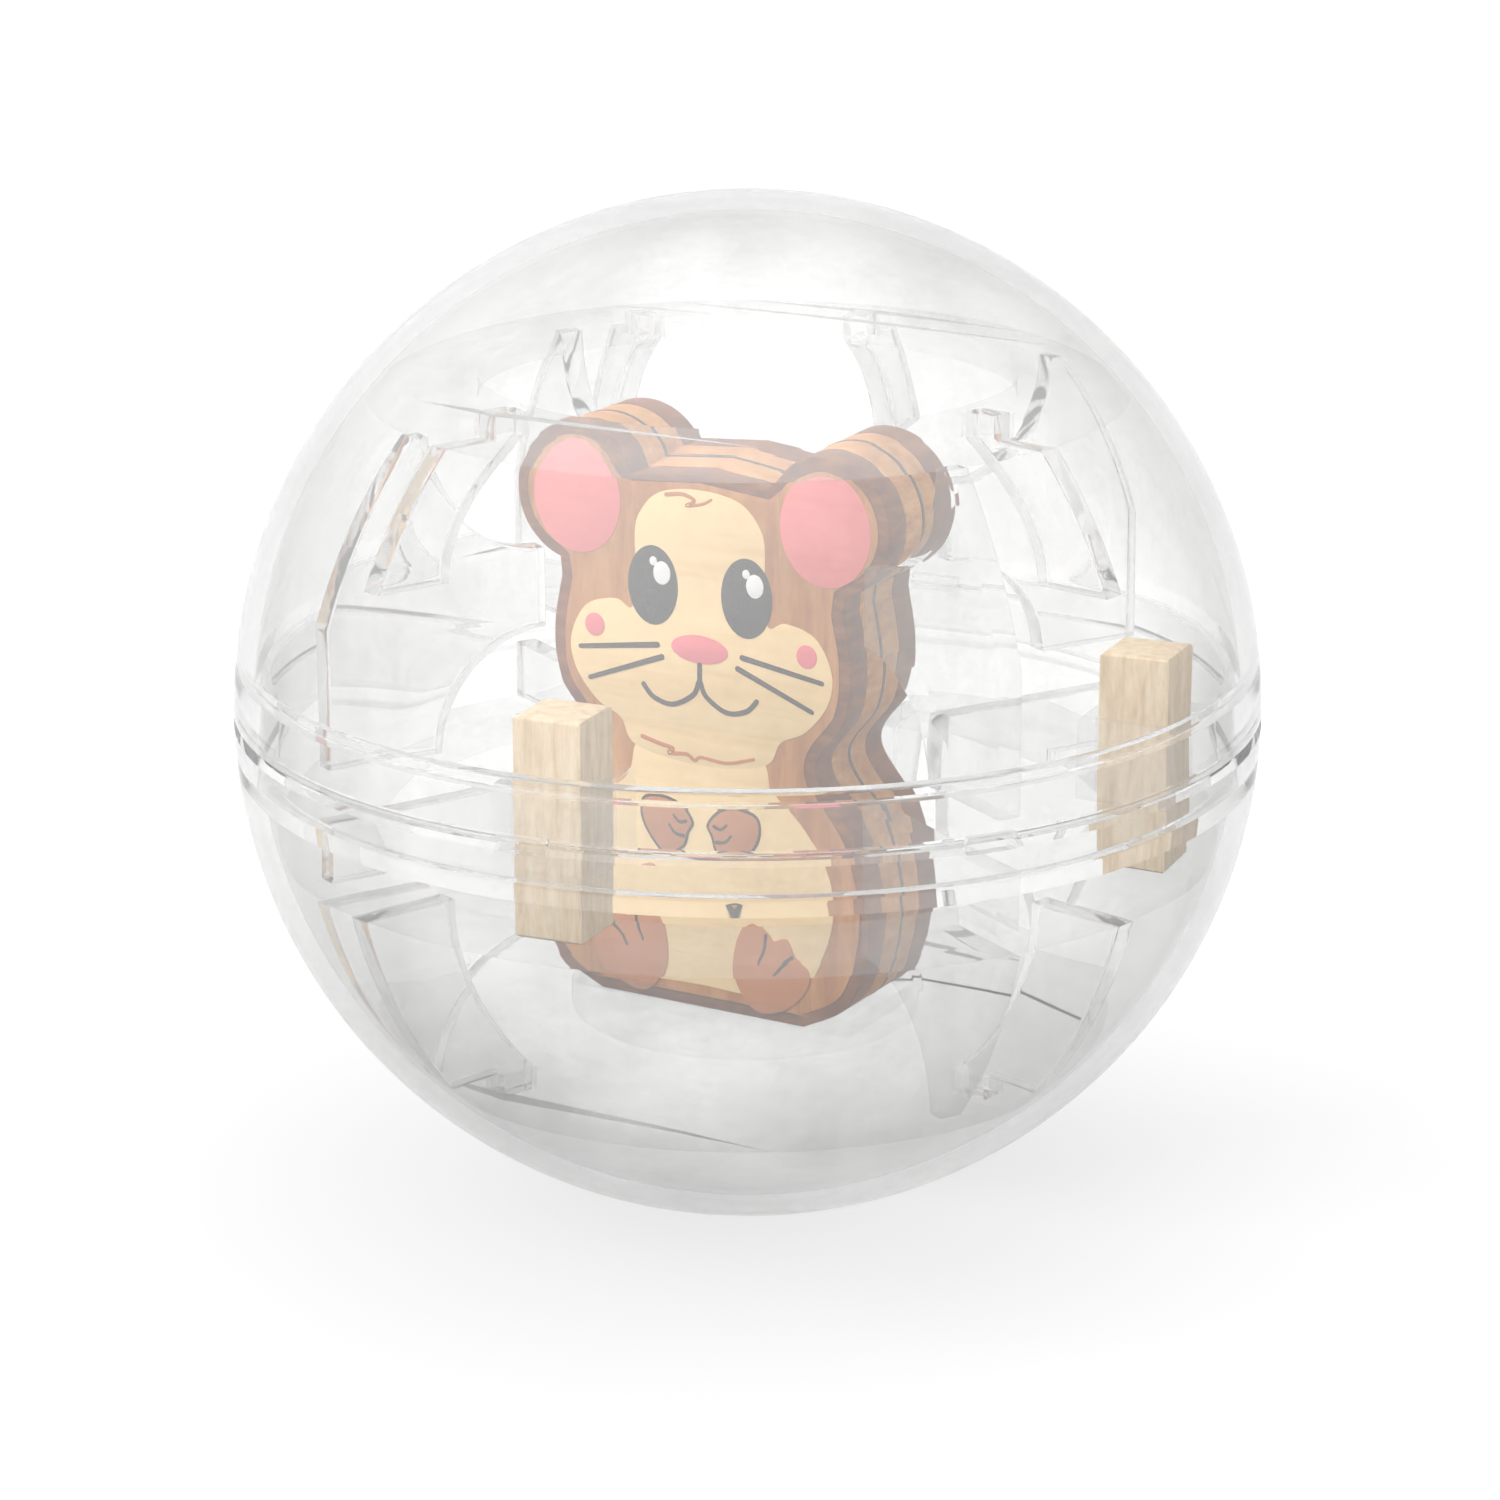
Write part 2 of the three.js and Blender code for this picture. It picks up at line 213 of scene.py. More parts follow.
def clear_plastic(name, tint, slant_painted_shade, haze, rough, ior):
    """Clear acrylic with a slight haze. Where it is seen at a slant it is darker: painted shade standing in
    for the dark edges of clear plastic, partly also the real absorption of the longer path through it. Lamps
    shine through it.
    """
    material, tree = new_material(name)
    grain = noise(tree, 900.0, 6.0, rough=0.7)
    slant = node(tree, "ShaderNodeLayerWeight", {"Blend": 0.5}).outputs["Facing"]
    drawn = noise(tree, 55.0, 4.0, (1, 1, 0.12), 0.6)
    # Painted shade: the tint darkens towards the second colour where the plastic is seen at a slant.
    tint_with_slant_shade = ramp(tree, slant, [(0.0, tint), (0.3, tint), (0.95, slant_painted_shade)])
    speck = ramp(tree, grain, [(0.35, (0.96, 0.96, 0.96)), (0.6, (1, 1, 1))])
    streak = ramp(tree, drawn, [(0.38, (0.9, 0.9, 0.9)), (0.56, (1, 1, 1))])
    colour = mixed(tree, 1.0, mixed(tree, 1.0, tint_with_slant_shade, speck, "MULTIPLY"), streak, "MULTIPLY")
    body = node(
        tree,
        "ShaderNodeBsdfPrincipled",
        {
            "Base Color": colour,
            "Roughness": mapped(tree, grain, rough * 0.6, rough * 1.5),
            "Normal": bump(tree, grain, 0.01, 0.00005),
            "IOR": ior,
            "Transmission Weight": 1.0 - haze,
        },
    )
    through = node(tree, "ShaderNodeBsdfTransparent", {"Color": (0.985, 0.985, 0.985, 1)})
    path = node(tree, "ShaderNodeLightPath")
    joined = node(
        tree,
        "ShaderNodeMixShader",
        {0: path.outputs["Is Shadow Ray"], 1: body.outputs[0], 2: through.outputs[0]},
    )
    finish_material(tree, joined.outputs[0])
    return material


def wood(name, dark, mid, light, scale=110.0, stretch=(6, 6, 1), rough=0.6, rings=0.35):
    """Sanded wood: long streaks, finer pores and a slow change of tone."""
    material, tree = new_material(name)
    streaks = noise(tree, scale, 8.0, stretch, 0.6)
    pores = noise(tree, scale * 6, 3.0, stretch, 0.6)
    cloud = noise(tree, scale * 0.3, 2.0)
    base = ramp(tree, streaks, [(0.3, dark), (0.5, mid), (0.72, light)])
    speckle = ramp(tree, pores, [(0.35, (0.72, 0.66, 0.6)), (0.55, (1, 1, 1))])
    toned = mixed(tree, rings, base, speckle, "MULTIPLY")
    slow = ramp(tree, cloud, [(0.3, (0.86, 0.84, 0.82)), (0.7, (1.06, 1.05, 1.04))])
    colour = mixed(tree, 0.7, toned, slow, "MULTIPLY")
    shader = node(
        tree,
        "ShaderNodeBsdfPrincipled",
        {
            "Base Color": colour,
            "Roughness": mapped(tree, streaks, rough - 0.1, rough + 0.12),
            "Normal": bump(tree, streaks, 0.35),
        },
    )
    finish_material(tree, shader.outputs[0])
    return material


def paint(name, colour, grain=0.25, rough=0.45):
    """Thin paint on wood: the grain shows through it a little."""
    material, tree = new_material(name)
    streaks = noise(tree, 60.0, 6.0, (0.6, 1, 9), 0.6)
    patch = noise(tree, 90.0, 3.0)
    shade = tuple(c * (0.82 - 0.1 * i) for i, c in enumerate(colour))
    base = mixed(tree, mapped(tree, streaks, grain, 0.0, 0.32, 0.5), colour, shade)
    slow = ramp(tree, patch, [(0.3, (0.95, 0.94, 0.92)), (0.7, (1, 1, 1))])
    shader = node(
        tree,
        "ShaderNodeBsdfPrincipled",
        {
            "Base Color": mixed(tree, 1.0, base, slow, "MULTIPLY"),
            "Roughness": mapped(tree, patch, rough - 0.06, rough + 0.08),
            "Normal": bump(tree, streaks, 0.12),
        },
    )
    finish_material(tree, shader.outputs[0])
    return material


# The last number is how much each bends light. It is far under real acrylic for the level sheets,
# the ring, the stand and the wall beside the hamster, so that the hamster shows plainly.
# The second colour of each clear plastic is painted shade, used where it is seen at a slant.
SHEET_TINT = (0.955, 0.955, 0.952)
SHEET_SLANT_PAINTED_SHADE = (0.6, 0.6, 0.595)
SHELL = clear_plastic("shell acrylic", (0.905, 0.905, 0.902), (0.7, 0.7, 0.695), 0.09, 0.03, 1.1)
UPRIGHT = clear_plastic("upright sheet acrylic", SHEET_TINT, SHEET_SLANT_PAINTED_SHADE, 0.03, 0.02, 1.008)
GLASSY = clear_plastic("glassy sheet acrylic", SHEET_TINT, SHEET_SLANT_PAINTED_SHADE, 0.03, 0.02, 1.3)
LEVEL = clear_plastic("level sheet acrylic", (0.975, 0.975, 0.972), (0.84, 0.84, 0.835), 0.03, 0.02, 1.002)
RING = clear_plastic("ring acrylic", (0.97, 0.97, 0.967), (0.8, 0.8, 0.795), 0.03, 0.03, 1.002)
STAND = clear_plastic("stand acrylic", (0.99, 0.99, 0.988), (0.95, 0.95, 0.947), 0.01, 0.02, 1.002)
# Painted shade: the cut sides of the clear sheets are tinted darker.
CUT_EDGE_PAINTED_SHADE = clear_plastic("cut edge acrylic", (0.74, 0.74, 0.735), (0.55, 0.55, 0.545), 0.08, 0.05, 1.004)
# Painted shade: a dark tint along the seam between the two halves.
SEAM_PAINTED_SHADE = clear_plastic("seam edge acrylic", (0.42, 0.42, 0.41), (0.34, 0.34, 0.335), 0.03, 0.1, 1.1)
PEG = wood("peg wood", (0.62, 0.44, 0.25), (0.8, 0.62, 0.4), (0.9, 0.76, 0.55), 160.0, (5, 5, 0.8))
DARK_WOOD = wood("dark layer", (0.08, 0.024, 0.01), (0.17, 0.056, 0.022), (0.3, 0.12, 0.045), 90.0, (2, 2, 7))
CORE_WOOD = wood("core layer", (0.42, 0.17, 0.05), (0.62, 0.3, 0.1), (0.8, 0.45, 0.19), 90.0, (1, 3, 6))
FACE_WOOD = wood("face wood", (0.36, 0.14, 0.045), (0.5, 0.22, 0.075), (0.64, 0.32, 0.12), 70.0, (5, 3, 0.8))
CREAM = paint("cream paint", (0.9, 0.66, 0.35), 0.4)
PINK = paint("ear pink", (0.8, 0.22, 0.22), 0.3)
ROSE = paint("nose pink", (0.8, 0.2, 0.23), 0.2)
BLACK = paint("eye black", (0.008, 0.007, 0.007), 0.1, 0.25)
LINE = paint("line black", (0.02, 0.012, 0.01), 0.1)
WHITE = paint("eye white", (0.85, 0.85, 0.85), 0.05, 0.25)
PAW = paint("paw brown", (0.5, 0.19, 0.075), 0.4)
FUR = paint("fur brown", (0.5, 0.17, 0.05), 0.2)


# ---- Mesh helpers ----

SHARP_ANGLE = 30


def add_piece(name, mesh, material, body, nodes=(), edge=None):
    """A visible piece that rides on a body. With an edge material, its faces marked 1 take that."""
    mesh.materials.clear()
    mesh.materials.append(material)
    if edge:
        mesh.materials.append(edge)
    else:
        mesh.polygons.foreach_set("material_index", [0] * len(mesh.polygons))
    mesh.polygons.foreach_set("use_smooth", [True] * len(mesh.polygons))
    mesh.set_sharp_from_angle(angle=math.radians(SHARP_ANGLE))
    piece = bpy.data.objects.new("fine_" + name.replace(" ", "_"), mesh)
    bpy.context.scene.collection.objects.link(piece)
    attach(piece, body)
    if nodes:
        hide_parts(*nodes)
    return piece


def arc(x, y, radius, start, end, steps, tall=None):
    tall = radius if tall is None else tall
    return [
        (
            x + radius * math.cos(start + (end - start) * i / steps),
            y + tall * math.sin(start + (end - start) * i / steps),
        )
        for i in range(steps + 1)
    ]


def arc_between(radius, low_height, high_height, steps):
    start = math.asin(max(-1, min(1, low_height / radius)))
    end = math.asin(max(-1, min(1, high_height / radius)))
    return arc(0, 0, radius, start, end, steps)


def turned_about(points, degrees):
    c, s = math.cos(math.radians(degrees)), math.sin(math.radians(degrees))
    return [(x * c - y * s, x * s + y * c) for x, y in points]


def upside_down(points):
    return [(x, -y) for x, y in reversed(points)]


def spline_through(points, steps, closed=False):
    """A smooth line through the points, with this many steps from each to the next."""
    count = len(points)
    made = []
    spans = count if closed else count - 1
    for i in range(spans):
        if closed:
            p0, p1, p2, p3 = (points[(i + k) % count] for k in (-1, 0, 1, 2))
        else:
            p0, p1, p2, p3 = (points[max(0, min(count - 1, i + k))] for k in (-1, 0, 1, 2))
        for s in range(steps):
            t = s / steps
            made.append(
                tuple(
                    0.5
                    * (
                        2 * b
                        + (c - a) * t
                        + (2 * a - 5 * b + 4 * c - d) * t * t
                        + (3 * b - a - 3 * c + d) * t ** 3
                    )
                    for a, b, c, d in zip(p0, p1, p2, p3)
                )
            )
    if not closed:
        made.append(tuple(points[-1]))
    return made


def plate(outline, holes, thickness, bevel, place):
    """A flat plate in its own XY plane with rounded edges, centred on Z, then put in place.

    The faces of its sides are marked 1, for an edge material.
    """
    curve = bpy.data.curves.new("plate", "CURVE")
    curve.dimensions = "2D"
    curve.fill_mode = "BOTH"
    for points in (outline, *holes):
        line = curve.splines.new("POLY")
        line.points.add(len(points) - 1)
        for p, (x, y) in zip(line.points, points):
            p.co = (x * MM, y * MM, 0, 1)
        line.use_cyclic_u = True
    curve.extrude = (thickness / 2 - bevel) * MM
    curve.bevel_depth = bevel * MM
    curve.bevel_resolution = 2
    curve.offset = -bevel * MM
    holder = bpy.data.objects.new("plate", curve)
    bpy.context.scene.collection.objects.link(holder)
    dg = bpy.context.evaluated_depsgraph_get()
    mesh = bpy.data.meshes.new_from_object(holder.evaluated_get(dg))
    bpy.data.objects.remove(holder)
    bpy.data.curves.remove(curve)
    work = bmesh.new()
    work.from_mesh(mesh)
    bmesh.ops.remove_doubles(work, verts=work.verts, dist=0.002 * MM)
    bmesh.ops.dissolve_degenerate(work, dist=0.001 * MM, edges=work.edges)
    bmesh.ops.recalc_face_normals(work, faces=work.faces)
    for face in work.faces:
        # Side faces are marked for an edge material, which on the clear sheets is painted shade.
        face.material_index = 1 if abs(face.normal.z) < 0.3 else 0
    work.to_mesh(mesh)
    work.free()
    mesh.transform(place)
    return mesh


def lying(height):
    """For a plate seen from above, with its middle at this height."""
    return Matrix.Translation((0, 0, (CENTRE + height) * MM))


def standing(azimuth):
    """For a plate in a plane through the vertical axis: X is radius and Y is height."""
    return (
        Matrix.Translation((0, 0, CENTRE * MM))
        @ Matrix.Rotation(math.radians(azimuth), 4, "Z")
        @ Matrix.Rotation(math.pi / 2, 4, "X")
    )


def facing_front(y):
    """For a plate seen from the front: X is across and Y is up, both from the hamster's base."""
    place = Vector((HAMSTER_X, y, CENTRE + HAMSTER_BASE)) * MM
    return Matrix.Translation(place) @ Matrix.Rotation(math.pi / 2, 4, "X")


def lathe(profiles):
    """A closed mesh from one (azimuth, profile) pair per step. Points on the axis are shared."""
    work = bmesh.new()
    count = len(profiles[0][1])
    poles = {}
    rings = []
    for azimuth, profile in profiles:
        ring = []
        for i, (r, z) in enumerate(profile):
            if r < 1e-6:
                if i not in poles:
                    poles[i] = work.verts.new((0, 0, (CENTRE + z) * MM))
                ring.append(poles[i])
            else:
                x, y = r * math.cos(azimuth), r * math.sin(azimuth)
                ring.append(work.verts.new((x * MM, y * MM, (CENTRE + z) * MM)))
        rings.append(ring)
    for a, b in zip(rings, rings[1:] + rings[:1]):
        for i in range(count):
            j = (i + 1) % count
            corners = []
            for v in (a[i], b[i], b[j], a[j]):
                if v not in corners:
                    corners.append(v)
            if len(corners) > 2:
                work.faces.new(corners)
    bmesh.ops.recalc_face_normals(work, faces=work.faces)
    mesh = bpy.data.meshes.new("turned")
    work.to_mesh(mesh)
    work.free()
    return mesh


def even_azimuths(count):
    return [2 * math.pi * i / count for i in range(count)]


# ---- Shells ----

SHELL_STEPS = 288
NOTCH_SIDE = 0.001
NOTCH_ROOM = 0.004


def shell_azimuths():
    """Even steps, with close pairs at both edges of each pry notch."""
    half = PRY_WIDTH / 2 / BALL_R
    edges = []
    for degrees in PRY_AZIMUTHS:
        middle = math.radians(degrees) % (2 * math.pi)
        edges += [middle - half - NOTCH_SIDE, middle - half, middle + half, middle + half + NOTCH_SIDE]
    steps = [a for a in even_azimuths(SHELL_STEPS) if all(abs(a - e) > NOTCH_ROOM for e in edges)]
    return sorted(steps + edges)


def in_notch(azimuth):
    half = PRY_WIDTH / 2 / BALL_R + 1e-6
    gaps = (abs((azimuth - math.radians(d) + math.pi) % (2 * math.pi) - math.pi) for d in PRY_AZIMUTHS)
    return any(gap <= half for gap in gaps)


def shell_profile(foot_r, notched):
    """The upper half's section, from the inside round the rim to the outside."""
    outer_top = math.sqrt(BALL_R ** 2 - foot_r ** 2)
    inner_top = outer_top - WALL
    notch_r = BALL_R - PRY_DEPTH
    rim_start = PRY_HEIGHT + 0.05
    outer_start = math.sqrt(BALL_R ** 2 - rim_start ** 2)
    chamfer_r = math.sqrt(BALL_R ** 2 - (SEAM_HALF + RIM_CHAMFER) ** 2)
    lip = (
        [(notch_r - 0.01, SEAM_HALF), (notch_r, PRY_HEIGHT)]
        if notched
        else [(BALL_R - RIM_CHAMFER, SEAM_HALF), (chamfer_r, SEAM_HALF + RIM_CHAMFER)]
    )
    floor = [(0, inner_top)] if foot_r else []
    roof = [(0, outer_top)] if foot_r else []
    return [
        *floor,
        *reversed(arc_between(INNER_R, LEDGE_TOP + LEDGE_HEIGHT + LEDGE_SLOPE, inner_top, 40)),
        (LEDGE_R + EDGE_EASE, LEDGE_TOP + LEDGE_HEIGHT + 0.15),
        (LEDGE_R, LEDGE_TOP + LEDGE_HEIGHT - 0.1),
        (LEDGE_R, LEDGE_TOP + EDGE_EASE),
        (LEDGE_R + EDGE_EASE, LEDGE_TOP),
        (RECESS_R, LEDGE_TOP),
        (RECESS_R, SEAM_HALF + EDGE_EASE),
        (RECESS_R + EDGE_EASE, SEAM_HALF),
        *lip,
        (outer_start, rim_start),
        *arc_between(BALL_R, rim_start, outer_top, 56)[1:],
        *roof,
    ]


def shell(foot_r, upside):
    """One half shell. The faces of its rim at the seam are marked 1, for the darker seam material, which
    paints shade along the seam.
    """
    profiles = []
    for azimuth in shell_azimuths():
        profile = shell_profile(foot_r, in_notch(azimuth))
        profile = [(0 if r < 1e-4 else r, -z if upside else z) for r, z in profile]
        profiles.append((azimuth, profile))
    mesh = lathe(profiles)
    for face in mesh.polygons:
        x, y, z = face.center / MM
        # The rim faces at the seam take the dark seam material, painted shade along the seam.
        at_seam = abs(z - CENTRE) < PRY_HEIGHT and math.hypot(x, y) > RECESS_R + 0.3
        face.material_index = 1 if at_seam else 0
    return mesh


for half, mesh in (("lower", shell(FOOT_R, True)), ("upper", shell(0, False))):
    add_piece(f"{half} shell", mesh, SHELL, f"{half}_half", [f"{half}_shell"], edge=SEAM_PAINTED_SHADE)


# ---- Decks and shelves ----

def clear_radius(height):
    return math.sqrt(CLEAR_R ** 2 - height ** 2)


def slope_rim(mesh, bottom, top):
    """Slopes a round sheet's vertical rim to follow the shell."""
    wide = clear_radius(min(abs(bottom), abs(top)))
    for v in mesh.vertices:
        r = math.hypot(v.co.x, v.co.y) / MM
        if r > wide - 0.6:
            height = v.co.z / MM - CENTRE
            factor = (clear_radius(height) - (wide - r)) / r
            v.co.x *= factor
            v.co.y *= factor


def block(radius, half_long, half_wide, azimuth):
    corners = [
        (-half_long, -half_wide),
        (half_long, -half_wide),
        (half_long, half_wide),
        (-half_long, half_wide),
    ]
    return turned_about([(radius + x, y) for x, y in corners], azimuth)


def deck(bottom, openings):
    top = bottom + SHEET
    wide = clear_radius(min(abs(bottom), abs(top)))
    slots = [
        block(GUSSET_FOOT_R + GUSSET_TAB / 2, GUSSET_TAB / 2 + FIT, SHEET / 2 + FIT, azimuth)
        for azimuth in GUSSET_AZIMUTHS
    ]
    rim = arc(0, 0, wide, 0, 2 * math.pi, 192)[1:]
    mesh = plate(rim, [*slots, *openings], SHEET, SHEET_BEVEL, lying(bottom + SHEET / 2))
    slope_rim(mesh, bottom, top)
    return mesh


def lower_shelf():
    top = -LOWER_SHELF
    bottom = top - SHELF
    wide = clear_radius(top)
    inner = arc(0, 0, SHELF_INNER_R, 0, 2 * math.pi, 160)[1:]
    rim = arc(0, 0, wide, 0, 2 * math.pi, 192)[1:]
    mesh = plate(rim, [inner], SHELF, SHEET_BEVEL, lying(bottom + SHELF / 2))
    slope_rim(mesh, bottom, top)
    return mesh


deck_opening = arc(0, 0, DECK_OPENING_R, 0, 2 * math.pi, 160)[1:]
for half, mesh in (("lower", deck(-DECK_TOP, [])), ("upper", deck(DECK, [deck_opening]))):
    add_piece(f"{half} deck", mesh, LEVEL, f"{half}_half", [f"{half}_deck"], edge=CUT_EDGE_PAINTED_SHADE)
add_piece("lower shelf", lower_shelf(), LEVEL, "lower_half", ["lower_shelf"])


# ---- Walls and gussets ----

def deck_arch():
    """A quarter arch that opens a wall from the well towards its deck."""
    return arc(WELL_R, DECK, clear_radius(DECK) - WALL_FOOT - WELL_R, 0, -math.pi / 2, 24)


def lower_wall_outline():
    notch_in = SHELF_INNER_R - FIT
    notch_low = LOWER_SHELF - FIT
    notch_high = LOWER_SHELF + SHELF + FIT
    return [
        (WELL_R, MAZE_GAP),
        (MAZE_OUTER_R, MAZE_GAP),
        (MAZE_OUTER_R, notch_low),
        (notch_in, notch_low),
        (notch_in, notch_high),
        *arc_between(CLEAR_R, notch_high, DECK, 24),
        *deck_arch(),
    ]


def upper_wall_outline():
    arch_r = (SHELF_INNER_R - WELL_R) * SEAM_ARCH_SHARE
    leg_bottom = 2 * FIT
    straight_top = math.sqrt(CLEAR_R ** 2 - MAZE_OUTER_R ** 2)
    return [
        *arc(WELL_R, 0, arch_r, math.pi / 2, math.asin(leg_bottom / arch_r), 24),
        (MAZE_OUTER_R, leg_bottom),
        *arc_between(CLEAR_R, straight_top, DECK, 32),
        *deck_arch(),
    ]


def gusset_outline(shelf_top):
    hollow = []
    for i in range(1, 21):
        t = i / 20
        middle_r, middle_z = SHELF_INNER_R, (DECK + shelf_top) / 2
        r = (1 - t) ** 2 * GUSSET_FOOT_R + 2 * t * (1 - t) * middle_r + t * t * SHELF_INNER_R
        z = (1 - t) ** 2 * DECK + 2 * t * (1 - t) * middle_z + t * t * shelf_top
        hollow.append((r, z))
    tab_end = GUSSET_FOOT_R + GUSSET_TAB
    return [
        *hollow,
        *arc_between(CLEAR_R, shelf_top, DECK, 24),
        (tab_end, DECK),
        (tab_end, DECK_TOP),
        (GUSSET_FOOT_R, DECK_TOP),
        (GUSSET_FOOT_R, DECK),
    ]


def add_sheet(name, outline, half, azimuth, material=GLASSY):
    """A standing sheet of one half. Its outline is drawn above the seam and turned over for the lower."""
    points = upside_down(outline) if half == "lower" else outline
    mesh = plate(points, [], SHEET, SHEET_BEVEL, standing(azimuth))
    add_piece(name, mesh, material, f"{half}_half", [name], edge=CUT_EDGE_PAINTED_SHADE)


for k in QUARTERS:
    look = UPRIGHT if k == BESIDE_HAMSTER else GLASSY
    add_sheet(f"lower_wall_{k + 1}", lower_wall_outline(), "lower", WALL_AZIMUTH + 90 * k, look)
    add_sheet(f"upper_wall_{k + 1}", upper_wall_outline(), "upper", WALL_AZIMUTH + 90 * k, look)
for k, azimuth in enumerate(GUSSET_AZIMUTHS):
    add_sheet(f"lower_gusset_{k + 1}", gusset_outline(LOWER_SHELF + SHELF), "lower", azimuth)
    add_sheet(f"upper_gusset_{k + 1}", gusset_outline(DECK - GUSSET_REACH), "upper", azimuth)


# ---- Joining ring and pegs ----

def ring_inner_edge():
    boss = math.asin(BOSS_HALF / RING_BAND_R)
    points = []
    for degrees, following in zip(PEG_AZIMUTHS, (*PEG_AZIMUTHS[1:], PEG_AZIMUTHS[0] + 360)):
        start, end = math.radians(degrees) + boss, math.radians(following) - boss
        points += turned_about([(BOSS_R, -BOSS_HALF), (BOSS_R, BOSS_HALF)], degrees)
        points += arc(0, 0, RING_BAND_R, start, end, math.ceil((end - start) * 30))
    return points


sockets = [block(PEG_R, SOCKET_HALF, SOCKET_HALF, azimuth) for azimuth in PEG_AZIMUTHS]
ring_mesh = plate(
    arc(0, 0, RING_R, 0, 2 * math.pi, 240)[1:],
    [ring_inner_edge(), *sockets],
    2 * RING_HALF,
    RING_BEVEL,
    lying(0),
)
add_piece("joining ring", ring_mesh, RING, "joining_ring", ["joining_ring"])

for k, azimuth in enumerate(PEG_AZIMUTHS):
    outline = block(PEG_R, PEG_SIDE / 2, PEG_SIDE / 2, azimuth)
    mesh = plate(outline, [], PEG_LENGTH, PEG_BEVEL, lying(PEG_BASE + PEG_LENGTH / 2))
    add_piece(f"peg {k + 1}", mesh, PEG, f"peg_{k + 1}", [f"peg_{k + 1}"])


# ---- Hamster ----

# The right side up to the ear, as shares of the hamster's height.
SIDE = [
    (0.2, 0), (0.292, 0.06), (0.33, 0.2), (0.3, 0.34), (0.222, 0.455),
    (0.277, 0.55), (0.288, 0.64), (0.272, 0.735),
]


def hamster_outline(inset=0.0):
    side = spline_through(SIDE, 14)
    ear = arc(0.239, 0.877, 0.12, math.radians(-72), math.radians(152), 40)
    right = [*side[:-1], *ear]
    crown = (0, ear[-1][1] + 0.012)
    points = [*right, crown, *[(-x, y) for x, y in reversed(right)]]
    points = [(x * HAMSTER_HEIGHT, y * HAMSTER_HEIGHT) for x, y in points]
    return moved_in(points, inset) if inset else points


def moved_in(points, distance):
    """The outline moved inwards by a distance."""
    moved = []
    count = len(points)
    for i, (x, y) in enumerate(points):
        (ax, ay), (bx, by) = points[i - 1], points[(i + 1) % count]
        length = math.hypot(bx - ax, by - ay) or 1
        moved.append((x - (by - ay) / length * distance, y + (bx - ax) / length * distance))
    return moved


PLIES = (
    ("hamster_front", DARK_WOOD, "dark_ply"),
    ("hamster_front_core", CORE_WOOD, "light_ply"),
    ("hamster_back_core", CORE_WOOD, "light_ply"),
    ("hamster_back", DARK_WOOD, "dark_ply"),
)
for i, (name, material, slot) in enumerate(PLIES):
    mesh = plate(hamster_outline(), [], PLY, PLY_BEVEL, facing_front(HAMSTER_FACE + PLY * (i + 0.5)))
    add_piece(name.replace("_", " "), mesh, material, "hamster", [name])

glue_place = facing_front(HAMSTER_FACE + 2 * PLY)
glue_mesh = plate(hamster_outline(-GLUE_BULGE), [], GLUE_THICKNESS, 0.05, glue_place)
add_piece("glue line", glue_mesh, LINE, "hamster")


def art(name, outline, material, level, mirror=False):
    """A thin painted shape on the hamster's face. Higher levels lie over lower ones."""
    y = HAMSTER_FACE - PAINT_STEP * level + PAINT_THICKNESS / 2 - PAINT_SINK
    shapes = [outline, [(-x, z) for x, z in reversed(outline)]] if mirror else [outline]
    for i, shape in enumerate(shapes):
        side = (" left", " right")[i] if mirror else ""
        mesh = plate(shape, [], PAINT_THICKNESS, PAINT_BEVEL, facing_front(y))
        add_piece(f"face {name}{side}", mesh, material, "hamster")


def stroke(points, width, taper=0.0):
    """The outline of a line drawn with a round pen."""
    path = [Vector(p) for p in points]
    left, right = [], []
    last = len(path) - 1
    for i, p in enumerate(path):
        along = (path[min(last, i + 1)] - path[max(0, i - 1)]).normalized()
        across = Vector((-along.y, along.x))
        half = width / 2 * (1 - taper * i / last)
        left.append(tuple(p + across * half))
        right.append(tuple(p - across * half))
    start = (path[1] - path[0]).normalized()
    end = (path[-1] - path[-2]).normalized()
    first = math.atan2(start.y, start.x) + math.pi / 2
    final = math.atan2(end.y, end.x) - math.pi / 2
    end_half = width / 2 * (1 - taper)
    head = arc(path[-1].x, path[-1].y, max(end_half, 0.05), final, final + math.pi, 8)[1:-1]
    tail = arc(path[0].x, path[0].y, width / 2, first, first + math.pi, 8)[1:-1]
    return [*right, *head, *reversed(left), *tail]


def mirrored(half):
    """A closed outline from its right half, listed from bottom to top."""
    return [*half, *[(-x, z) for x, z in reversed(half) if abs(x) > 1e-6]]


art("fur", hamster_outline(1.5), FACE_WOOD, 1)

face_half = [
    (0, 30), (8.6, 31.2), (10.8, 34.3), (14.0, 36.0), (16.8, 39.4), (17.5, 43.2), (15.4, 47.3), (11.4, 48.6),
    (9.2, 47.8), (8.4, 51.0), (8.7, 55.6), (8.2, 59.0), (5.4, 62.0), (0, 62.9),
]
belly_half = [
    (0, 2.9), (9.8, 2.9), (14.2, 5.6), (17.3, 11.4), (17.8, 16.6), (16.6, 20.6), (13.6, 24.4), (9.8, 27.7),
    (8.9, 31.0), (7.4, 33.2), (0, 33.6),
]
art("belly", spline_through(mirrored(belly_half), 8, True), CREAM, 2)
art("muzzle", spline_through(mirrored(face_half), 8, True), CREAM, 2.2)
art("ear inside", arc(16.5, 60.2, 5.9, 0, 2 * math.pi, 48, 6.7)[1:], PINK, 2, True)
art("eye", arc(6.25, 50.9, 3.35, 0, 2 * math.pi, 48, 4.75)[1:], BLACK, 3.2, True)
